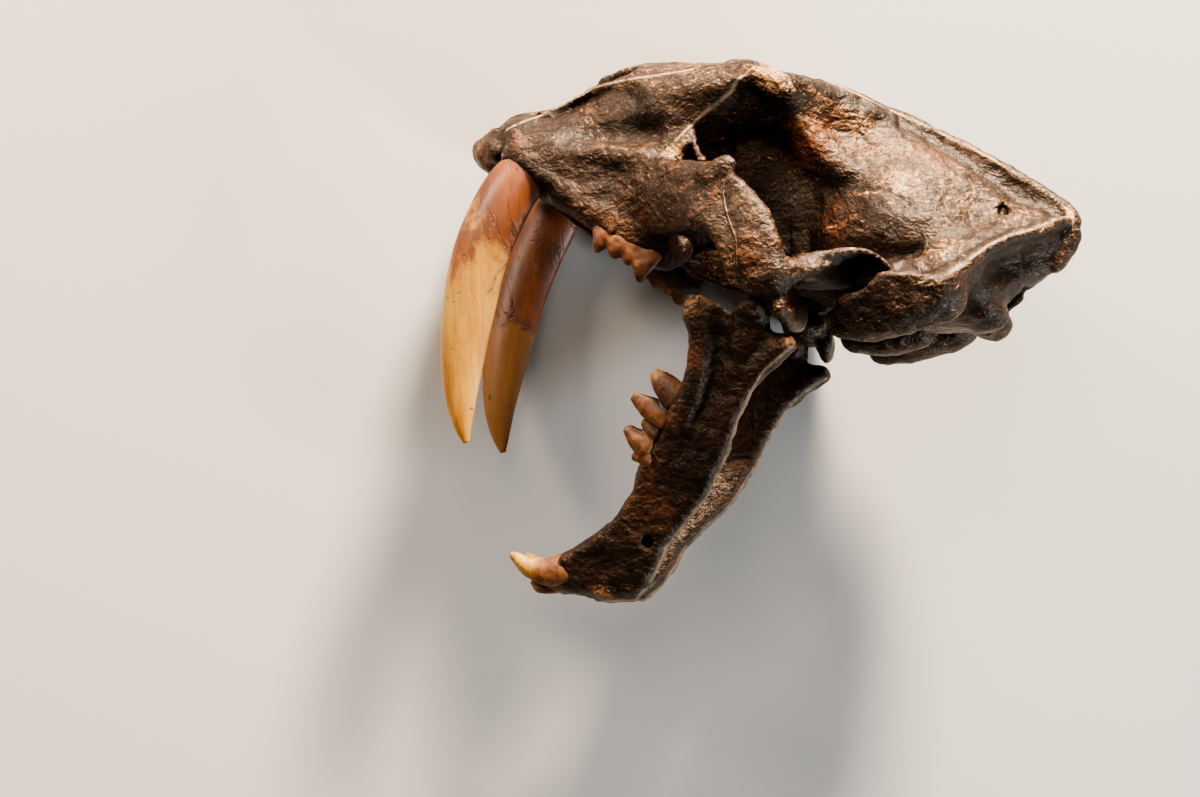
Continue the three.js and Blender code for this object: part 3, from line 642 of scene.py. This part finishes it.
def bone_finish(name, highlight_strength):
    """Dark stained bone with painted light on its grain: faces of the grain turned towards the crown and
    up are painted lighter, those turned away darker, and the thin lines along its edges are painted
    highlights; the second argument sets how strong both are.
    """
    finish = Finish(name, Specular_IOR_Level=0.42, IOR=1.55, Specular_Tint=(1.0, 0.80, 0.62, 1.0))
    step = (0.0, GRAIN_STEP, GRAIN_STEP * 0.4)
    higher = finish.node("VectorMath", {"operation": "ADD"}, finish.place, step)

    def grain(scale, detail, stretch):
        settings = {"Scale": scale, "Detail": detail, "Roughness": 0.62, "Distortion": 0.8}
        spots = [finish.node("Mapping", {}, Vector=v, Scale=stretch) for v in (finish.place, higher)]
        here, there = (finish.node("TexNoise", {}, Vector=spot, **settings) for spot in spots)
        return here, here - there

    large = finish.noise(24.0, 5.0, 0.62)
    blotch, blotch_lit = grain(115.0, 4.0, (1.0, 1.0, 1.0))
    wrinkle, wrinkle_lit = grain(400.0, 4.0, (0.8, 1.2, 1.0))
    # Painted highlight and shade of the grain: faces turned towards the crown and up are painted lighter,
    # those turned away darker, as if lit from over the crown.
    lit = (blotch_lit * 1.6 + wrinkle_lit * 1.3) * highlight_strength
    hollow_shade, bend = finish.mark("hollow_shade").math("MINIMUM", 0.6), finish.mark("bend")
    pale, rust, stain = finish.mark("pale"), finish.mark("rust"), finish.mark("stain")
    colour = finish.mix((large * 0.7 + blotch * 0.6 + lit * 0.6).between(0.5, 1.0), BLACK_BONE, BROWN_BONE)
    red = (rust * 0.55 + large * 0.9 + blotch * 0.6 + lit * 0.5 - hollow_shade * 0.25).between(0.85, 1.35)
    colour = finish.mix(red, colour, RED_BONE)
    # Gold and cream: pale bone and wear, together with painted highlights on ridges that stand out and on
    # the grain's faces towards the light; recesses, with their painted shade, get less.
    gold = bend * 0.3 + lit * 1.3 + pale * 0.6 + large * 0.5 - hollow_shade * 0.35 - stain * 0.3
    gold = gold.between(0.36, 1.1)
    colour = finish.mix(gold, colour, GOLD_BONE)
    cream = (pale * 0.6 + bend * 0.25 + lit * 1.7 + blotch * 0.3 - hollow_shade * 0.4).between(0.6, 1.6)
    colour = finish.mix(cream, colour, CREAM_BONE)
    # Black: black stain together with painted shade, in recesses, under overhangs and in the dark spots.
    dark = (hollow_shade * 0.9 + stain * 0.5 - bend * 0.4 - lit * 1.3 + 0.18 - pale * 0.4).between(0.1, 0.8)
    colour = finish.mix(dark, colour, BLACK_BONE)
    # Painted shade: a dark band a few millimetres under the edge of the crest, on both sides of it.
    crest_shade = (finish.mark("crest_shade").math("ABSOLUTE") - 5.8 + (large - 0.5) * 7).math("ABSOLUTE")
    colour = finish.mix((1 - crest_shade.between(1.4, 5.4)) * 0.92, colour, BLACK_BONE)
    # Painted highlights: thin cream lines along the brow, the ridge of the nose, the crests and the lower
    # edge of the jaw.
    edge = 1 - (finish.mark("edge") + blotch * 1.6 + wrinkle * 0.8).between(1.2, 2.3)
    colour = finish.mix(edge * (blotch + wrinkle * 0.5).between(0.5, 1.0) * highlight_strength, colour, CREAM_BONE)
    seam = finish.mark("seam").math("ABSOLUTE")
    colour = finish.mix((1 - seam.between(0.5, 0.9)) * 0.35, colour, GOLD_BONE)
    colour = finish.mix(1 - seam.between(0.2, 0.5), colour, BLACK_BONE)
    finish.feed("Base Color", colour)
    finish.feed("Roughness", 0.22 + blotch * 0.2 + wrinkle * 0.16)
    height = wrinkle * 0.6 + blotch * 1.1 - (1 - seam.between(0.2, 0.9)) * 0.3
    finish.feed("Normal", finish.node("Bump", {}, Strength=0.75, Distance=0.0016, Height=height))
    return finish.material


cranium.data.materials.append(bone_finish("asphalt_stained_bone", 1.0))


# Lower jaw
# Two bones that meet at the chin, of the same stained bone: each is a flat ramus with three processes at
# its back end. They are loose bones, held open by nothing that is part of the skull.

JAW_GRAIN = 1.2
JAW_HINGE_OFFSET, JAW_CONVERGE = 66, 0.36
JAW_DOWN = (-0.61, -0.79)
JAW_OUTLINE = [
    [-117, -137], [-120, -130], [-115, -123], [-109, -119.5], [-103, -116.5], [-88, -109], [-79, -103],
    [-71.5, -95], [-66, -88], [-64, -81], [-62, -76], [-57, -70], [-51, -62], [-47, -54], [-42, -47],
    [-37, -40], [-31, -36], [-28.4, -31], [-29, -22], [-31, -14], [-34, -6], [-32.5, 0.5], [-26, 3],
    [-18, 0.5], [-12.5, -4.5], [-6.4, -8], [-1, -6], [5, -5], [7, -9], [9, -15], [14.5, -17.5],
    [19.5, -20], [20, -24], [12, -29.5], [6, -34], [-1, -42], [-9, -56], [-15, -71], [-22.5, -84],
    [-27, -92], [-39.5, -105], [-50, -116], [-54, -125], [-60, -134.5], [-68, -142], [-86, -143],
    [-100, -139.5], [-108, -138.5]]
JAW_THICKNESS = ([0, 30, 60, 110, 140, 170], [3.6, 4.6, 6, 7, 9, 10])  # half, by distance from the hinge
JAW_ROUNDING = 5
CHIN_GAP = 0.45  # from the middle of the head to each half of the jaw

jaw = Clay((-135, -155), (32, 15, 96), JAW_GRAIN)


def jaw_down(x, y):
    return JAW_DOWN[0] * x + JAW_DOWN[1] * y


jaw.plate(JAW_OUTLINE, lambda x, y: JAW_HINGE_OFFSET - JAW_CONVERGE * jaw_down(x, y),
          lambda x, y: np.interp(jaw_down(x, y), *JAW_THICKNESS), JAW_ROUNDING)
jaw.limb([[1, -6, 46, 5, 6], [2, -5, 62, 5.4, 6.6], [2, -6, 77, 4.6, 5.6]], 3, side=(0, 1, 0))
jaw.limb([[0, -8, 64, 5.6, 8], [-8, -20, 59.6, 5, 7]], 6)
jaw.limb([[0, -35, 57.4, 4.4, 5], [9, -27.6, 61.4, 4.6, 4.6], [16, -22.4, 65, 4.6, 4.4]], 4)
# the hollow for the jaw's muscle, the ridge in front of it, and the mental foramen
jaw.limb([[-14, -10, 67, 5, 6], [-18, -24, 62.4, 5.4, 6.4], [-24, -42, 56.6, 5, 5.4],
          [-31, -56, 52, 3.6, 3.6]], 4, cut=True)
jaw.limb([[-28, -6, 60.4, 3.6, 4], [-26.5, -22, 56.6, 4, 5], [-31, -40, 51.4, 4, 5],
          [-39, -56, 46, 4, 4]], 6)
jaw.limb([[-58, -113.5, 34, 3, 3.6], [-60, -113, 22, 2.4, 3]], 1.2, side=(1, 0, 0), cut=True)
# gap where the two halves meet
jaw.field = np.maximum(jaw.field, CHIN_GAP - jaw.axes[2][None, None, :])
JAW_PALE = [[-62, -74, 46, 6, 0.7], [-46, -50, 50, 6, 0.7], [-54, -62, 48, 5, 0.7],
            [-30, -2, 62, 10, 0.4], [-26, 2, 62, 6, 0.35], [-84, -141, 18, 8, 0.9], [18, -21, 68, 6, 0.4]]
JAW_RUST = [[-26, -26, 68, 14, 0.85], [-44, -62, 56, 16, 0.7], [-116, -134, 14, 14, 0.9],
            [-60, -92, 44, 24, 0.5], [-36, -74, 50, 18, 0.4], [-80, -130, 24, 14, 0.35]]
jaw_bone = fired("jaw_bone", jaw, JAW_PALE, JAW_RUST, bone_relief)
jaw_bone.data.materials.append(bone_finish("asphalt_stained_jaw", 0.6))
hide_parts("left_dentary", "right_dentary")


# Upper canines
# The two sabres: enamel over ivory, flattened from side to side with a keel at the front and the back.
# The asphalt has stained the root end orange-brown, and time has cracked the enamel lengthwise.

SABRE = [
    [-98, 90, 32, 4, 8], [-106, 83, 35.5, 6, 11], [-114, 76, 38, 7.6, 13], [-124, 67, 40, 8.4, 14.4],
    [-132, 54, 41, 8.4, 15], [-139, 39, 41, 8.3, 15], [-144.5, 23, 40, 8, 14.7],
    [-148.4, 6, 38.2, 7.5, 14], [-151.4, -10, 36.5, 6.8, 12.8], [-153.2, -25, 35, 5.8, 11],
    [-154, -38, 33.8, 4.7, 8.8], [-153.6, -49, 33, 3.5, 6.4], [-152.6, -57, 32.5, 2.3, 4],
    [-151.4, -63, 32, 1, 1.5]]
SABRE_SEGMENTS = 48
SABRE_KEEL = 0.72  # squareness of the oval, below 1 towards a lens with two keels


def swept(name, stations, segments, steps=6, keel=1.0, side=(0, 0, 1), mirror=False):
    """A tooth: a ring drawn out along stations [x, y, z, a, b], one operator step at a time."""
    rows = smooth_path(stations, steps)
    if mirror:
        rows[:, 2] *= -1
    bm = bmesh.new()
    bmesh.ops.create_circle(bm, cap_ends=True, segments=segments, radius=1.0)
    for vert in bm.verts:
        x, y, _ = vert.co
        shrink = 1 - (1 - keel) * abs(y) ** 3 * 0.9
        vert.co = (x * shrink, y, 0)
    ring = list(bm.verts)
    last = Matrix.Identity(4)
    for i, row in enumerate(rows):
        way = Vector(rows[min(i + 1, len(rows) - 1)][:3] - rows[max(i - 1, 0)][:3]).normalized()
        wide = Vector(side) - Vector(side).dot(way) * way
        wide.normalize()
        basis = Matrix((wide * row[3], way.cross(wide) * row[4], way)).transposed().to_4x4()
        basis.translation = Vector(row[:3])
        if i > 0:
            edges = list({e: None for v in ring for e in v.link_edges if all(w in ring for w in e.verts)})
            made = bmesh.ops.extrude_edge_only(bm, edges=edges)["geom"]
            ring = [v for v in made if isinstance(v, bmesh.types.BMVert)]
        bmesh.ops.transform(bm, matrix=basis @ last.inverted(), verts=ring)
        last = basis
    bmesh.ops.contextual_create(bm, geom=[e for e in bm.edges if e.is_boundary])
    bmesh.ops.recalc_face_normals(bm, faces=bm.faces)
    bmesh.ops.transform(bm, matrix=skull_to_frame, verts=bm.verts)
    geometry = [*bm.verts, *bm.edges, *bm.faces]
    over_floor = (0, 0, MM * FLOOR_GAP)
    bmesh.ops.bisect_plane(bm, geom=geometry, plane_co=over_floor, plane_no=(0, 0, 1), clear_inner=True)
    bmesh.ops.holes_fill(bm, edges=[e for e in bm.edges if e.is_boundary])
    for face in bm.faces:
        face.smooth = True
    mesh = bpy.data.meshes.new(name)
    bm.to_mesh(mesh)
    bm.free()
    piece = bpy.data.objects.new(name, mesh)
    bpy.context.scene.collection.objects.link(piece)
    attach(piece, "root")
    return piece


IVORY = (0.52, 0.285, 0.06)
DEEP_IVORY = (0.34, 0.135, 0.022)
SABRE_ORANGE = (0.25, 0.07, 0.012)
SABRE_BROWN = (0.10, 0.028, 0.008)
CRACK = (0.03, 0.012, 0.006)
STAINED_IVORY = (0.20, 0.072, 0.018)
STAINED_SHARE = 0.8


def sabre_finish(name, stain):
    """Stain moves the orange-brown root colour down the tooth, and darkens the ivory."""
    finish = Finish(name, Specular_IOR_Level=0.5, IOR=1.55, Coat_Weight=0.05, Coat_Roughness=0.3)
    finish.surface.inputs["Subsurface Weight"].default_value = 0.06
    finish.surface.inputs["Subsurface Radius"].default_value = (0.006, 0.003, 0.0012)
    height = finish.node("SeparateXYZ", {}, finish.place, out="Y") * (1 / MM)
    cloud = finish.noise(34.0, 6.0, 0.6, 0.5, stretch=(1.0, 0.6, 1.0))
    streak = finish.noise(75.0, 6.0, 0.62, 0.3, stretch=(2.2, 0.22, 1.6))
    speck = finish.noise(420.0, 3.0, 0.6)
    root = (height * 0.022 + cloud * 3.0 + streak * 0.5).between(2.55 - stain, 2.85 - stain)
    ivory = finish.mix((streak * 0.8 + cloud * 0.7 + speck * 0.15).between(0.55, 1.05), DEEP_IVORY, IVORY)
    if stain > 0.5:
        ivory = finish.mix(STAINED_SHARE, ivory, STAINED_IVORY)
    amber = finish.mix((cloud + streak * 0.6).between(0.6, 1.05), SABRE_BROWN, SABRE_ORANGE)
    colour = finish.mix(root, ivory, amber)
    bent = finish.node("Mapping", {}, Vector=finish.place, Scale=(1.0, 0.12, 0.3), Rotation=(0, 0, 0.2))
    bent = finish.node("VectorMath", {"operation": "ADD"}, bent, finish.noise(45.0, 4.0, 0.6) * 0.005)
    cracks = finish.node("TexVoronoi", {"feature": "DISTANCE_TO_EDGE"}, Vector=bent, Scale=48.0)
    broken = finish.noise(38.0, 3.0, 0.55)
    crack = (1 - cracks.between(0.003, 0.012)) * broken.between(0.52, 0.60) * (0.3 + root * 0.7)
    pits = speck.between(0.62, 0.69) * finish.noise(60.0, 2.0, 0.5).between(0.46, 0.58)
    veins = (finish.noise(26.0, 5.0, 0.6, 1.2, stretch=(1.6, 0.5, 1.0)) - 0.5).math("ABSOLUTE")
    veins = 1 - veins.between(0.002, 0.012)
    veins = veins * finish.noise(30.0, 2.0, 0.5).between(0.48, 0.62) * (0.12 + root * 0.6)
    flaw = (crack * 0.6).math("MAXIMUM", pits * 0.8).math("MAXIMUM", veins)
    finish.feed("Base Color", finish.mix(flaw, colour, CRACK))
    finish.feed("Roughness", 0.34 + cloud * 0.25 + flaw * 0.3)
    bump = cloud * 0.3 + streak * 0.4 - flaw * 0.8 + speck * 0.08
    finish.feed("Normal", finish.node("Bump", {}, Strength=0.6, Distance=0.0009, Height=bump))
    return finish.material


for side, stain in (("left", 0.0), ("right", 0.9)):
    sabre = swept(f"{side}_sabre", SABRE, SABRE_SEGMENTS, keel=SABRE_KEEL, mirror=side == "right")
    sabre.data.materials.append(sabre_finish(f"{side}_sabre_enamel", stain))
    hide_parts(f"{side}_sabre_canine")


# Cheek teeth, lower canines and incisors
# Small teeth with cutting cusps, set in the jaws in life. Their enamel has turned a clear orange-brown in
# the asphalt, and it stays cream at the tips of the molars and on the lower canines.

TOOTH_GRAIN = 0.7
teeth = Clay((-92, 10), (-40, 60, 58), TOOTH_GRAIN)
teeth.limb([[-81, 53, 41, 3, 4], [-84.4, 47, 42, 2.8, 3.4], [-85.6, 44, 42.4, 1.4, 1.8]], 1)
teeth.limb([[-76, 42, 45.5, 4, 4.6], [-78, 34, 46.6, 3, 4], [-79.2, 30, 46.8, 1.4, 2]], 1.5)
teeth.limb([[-78, 41, 45.6, 3.6, 5], [-70, 36, 46.4, 4, 6], [-60, 29.6, 46.6, 4, 6.4],
            [-52, 27, 46, 3.6, 5.6]], 1.5)
teeth.limb([[-67, 37, 46, 4.4, 7], [-69.4, 30, 47.4, 3.2, 5.4], [-70.6, 26.6, 47.6, 1.4, 2.4]], 1.5)
teeth.limb([[-60, 31, 46.4, 4, 6], [-63, 25.6, 47.4, 2.8, 4], [-64.4, 23, 47.6, 1.4, 2]], 1.5)
teeth.limb([[-53, 29, 46, 4.2, 7.6], [-56.5, 21.5, 47.8, 2.8, 6], [-58.2, 17.2, 48, 1.4, 3.2]], 1.5)


def tooth_relief(points):
    return rough(points, 3.0, 11) * 0.2 + rough(points * (1.4, 0.5, 1.0), 1.6, 12) * 0.14


AMBER = (0.26, 0.105, 0.03)


def tooth_finish(name):
    finish = Finish(name, Specular_IOR_Level=0.5, IOR=1.55, Coat_Weight=0.05, Coat_Roughness=0.3)
    finish.surface.inputs["Subsurface Weight"].default_value = 0.08
    finish.surface.inputs["Subsurface Radius"].default_value = (0.004, 0.0018, 0.0008)
    pale, rust, hollow_shade, bend = (finish.mark(m) for m in ("pale", "rust", "hollow_shade", "bend"))
    cloud = finish.noise(110.0, 5.0, 0.6, 0.5)
    fine = finish.noise(420.0, 4.0, 0.6)
    colour = finish.mix((cloud + fine * 0.4).between(0.5, 1.0), SABRE_BROWN, AMBER)
    # Cream at the tips, with a little painted highlight on the ridges that stand out.
    cream = (pale + bend * 0.2 + cloud * 0.5 - rust * 0.4).between(0.7, 1.5) * 0.8
    colour = finish.mix(cream, colour, IVORY)
    # Painted shade in the crevices between the cusps, darkened towards the crack colour, with dark random
    # grain and darker roots.
    colour = finish.mix((hollow_shade * 1.1 + fine * 0.5 + rust * 0.45).between(0.5, 1.2), colour, CRACK)
    finish.feed("Base Color", colour)
    finish.feed("Roughness", 0.36 + cloud * 0.3)
    height = cloud * 0.9 + fine * 0.5
    finish.feed("Normal", finish.node("Bump", {}, Strength=0.5, Distance=0.0007, Height=height))
    return finish.material


UPPER_TIPS = [[-57, 20, 48, 5, 0.4]]
UPPER_ROOTS = [[-80, 51, 42, 6, 1], [-72, 42, 45, 7, 1], [-62, 37, 46, 7, 1], [-54, 34, 46, 6, 1]]
upper_teeth = fired("upper_cheek_teeth", teeth, UPPER_TIPS, UPPER_ROOTS, tooth_relief)
upper_teeth.data.materials.append(tooth_finish("amber_enamel"))
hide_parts(*(f"{s}_{t}" for s in ("left", "right")
                           for t in ("upper_premolar", "upper_carnassial")))

lower = Clay((-78, -80), (-34, -26, 52), TOOTH_GRAIN)
lower.limb([[-56, -67, 39, 3.4, 7], [-61, -63.5, 38.6, 3, 5.6], [-66, -58.5, 38.4, 1.8, 2.8]], 1)
lower.limb([[-56, -73, 38, 3.2, 4], [-62.5, -72, 37.6, 2, 2.4]], 1)
lower.limb([[-52, -61, 40, 3, 4], [-57, -55.5, 40, 1.8, 2.4]], 1)
lower.limb([[-46, -53, 43, 4, 7], [-55, -48, 43.5, 3, 5.4], [-61.4, -42.8, 43.8, 1.4, 2.6]], 1)
lower.limb([[-40, -44, 46, 4, 7.5], [-46.5, -37, 46.2, 3, 6], [-50.8, -31.8, 46.4, 1.4, 2.8]], 1)
LOWER_TIPS = [[-50, -33, 46, 6, 0.9]]
LOWER_ROOTS = [[-45, -48, 44, 7, 1], [-52, -62, 40, 6, 1], [-54, -72, 38, 5, 1]]
lower_teeth = fired("lower_cheek_teeth", lower, LOWER_TIPS, LOWER_ROOTS, tooth_relief)
lower_teeth.data.materials.append(upper_teeth.data.materials[0])
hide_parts(*(f"{s}_{t}" for s in ("left", "right")
                           for t in ("lower_premolar", "lower_carnassial")))

front = Clay((-138, -145), (-98, -110, 26), TOOTH_GRAIN)
front.limb([[-104, -126, 13, 4.4, 8], [-114, -128, 13.6, 4.4, 7], [-124, -125, 14, 3.8, 4.8],
            [-130.5, -120.4, 14, 2.2, 2.8], [-132.6, -118.2, 14, 1, 1.2]], 1)
CANINE_TIP = [[-126, -123, 14, 16, 1.0]]
CANINE_ROOT = [[-110, -128, 13, 10, 0.9]]
front_teeth = fired("lower_canines", front, CANINE_TIP, CANINE_ROOT, tooth_relief)
front_teeth.data.materials.append(upper_teeth.data.materials[0])
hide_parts("left_lower_canine", "right_lower_canine")

INCISOR_GRAIN = 0.5
INCISOR_OFFSETS = (2.2, 5, 7.8)  # of each from the middle
INCISOR_TIPS = [[-123, -134, 5, 12, 0.8]]
INCISOR_ROOTS = [[-112, -134, 5, 10, 0.9]]
incisors = Clay((-134, -145), (-104, -124, 14), INCISOR_GRAIN)
for i, z in enumerate(INCISOR_OFFSETS):
    incisors.limb([
        [-110, -134.5, z, 1.2, 3.2], [-119, -135.5, z, 1.2, 3.2], [-125 + i, -132.4, z, 0.9, 1.8]], 0.3)
incisor_piece = fired(
    "lower_incisors", incisors, INCISOR_TIPS, INCISOR_ROOTS, tooth_relief)
incisor_piece.data.materials.append(upper_teeth.data.materials[0])
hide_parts(*(f"{s}_lower_incisor_{n}" for s in ("left", "right") for n in (1, 2, 3)))


# Floor, light and camera
# A plain pale table, seen from nearly straight above. A soft warm key lights it from over the crown of the
# head, with a front light, a weak fill, a light along the edge of the crown, and a cool rim from the back.
# The camera stands where the photograph's stood to the skull.

FLOOR_HALF = 4.0
FLOOR_PAPER = (0.50, 0.46, 0.41)
bm = bmesh.new()
bmesh.ops.create_grid(bm, x_segments=1, y_segments=1, size=FLOOR_HALF)
floor_mesh = bpy.data.meshes.new("floor")
bm.to_mesh(floor_mesh)
bm.free()
floor = bpy.data.objects.new("floor", floor_mesh)
bpy.context.scene.collection.objects.link(floor)
floor_finish = Finish("floor_paper", Roughness=0.9)
floor_finish.surface.inputs["Base Color"].default_value = (*FLOOR_PAPER, 1)
floor_mesh.materials.append(floor_finish.material)

CAMERA_PLACE = (150.83, -143.24, 964.98)  # this and the camera's directions are in the skull's axes
CAMERA_BACK = Vector((0.24060, -0.10453, 0.96498))
CAMERA_RIGHT = Vector((0.97030, 0, -0.24192))
LENS = 58.2

camera_data = bpy.data.cameras.new("camera")
camera_data.lens = LENS
camera = bpy.data.objects.new("camera", camera_data)
bpy.context.scene.collection.objects.link(camera)
bpy.context.scene.camera = camera
turn = skull_to_frame.to_3x3() * (1 / MM)
view_back = (turn @ CAMERA_BACK).normalized()
view_right = (turn @ CAMERA_RIGHT).normalized()
view_up = view_back.cross(view_right)
camera.matrix_world = Matrix((view_right, view_up, view_back)).transposed().to_4x4()
camera.location = in_frame(CAMERA_PLACE)

LIT_SPOT = (0, 20, 0)
LIGHTS = {  # place in the skull's axes in metres, size, power, colour
    "key": ((0.9, 2.1, 0.95), 0.45, 300, (1.0, 0.89, 0.76)),
    "front": ((-1.4, 1.2, 1.4), 0.5, 36, (1.0, 0.88, 0.76)),
    "fill": ((0.1, 0.7, 2.3), 1.0, 15, (1.0, 0.90, 0.80)),
    "edge": ((-0.6, 2.0, 0.22), 0.5, 110, (1.0, 0.94, 0.86)),
    "rim": ((1.9, -1.4, 0.3), 0.6, 50, (0.74, 0.87, 1.0)),
}
for name, (place, size, power, colour) in LIGHTS.items():
    data = bpy.data.lights.new(name, "AREA")
    data.size, data.energy, data.color = size, power, colour
    lamp = bpy.data.objects.new(name, data)
    bpy.context.scene.collection.objects.link(lamp)
    lamp.location = in_frame(Vector(place) / MM)
    aim = in_frame(LIT_SPOT) - lamp.location
    lamp.rotation_mode = "QUATERNION"
    lamp.rotation_quaternion = aim.to_track_quat("-Z", "Y")

STUDIO_COLOUR = (0.80, 0.78, 0.76)
STUDIO_STRENGTH = 0.12
world = bpy.data.worlds.new("studio")
bpy.context.scene.world = world
world.use_nodes = True
background = world.node_tree.nodes["Background"]
background.inputs["Color"].default_value = (*STUDIO_COLOUR, 1)
background.inputs["Strength"].default_value = STUDIO_STRENGTH

bpy.context.scene.view_settings.look = "AgX - High Contrast"
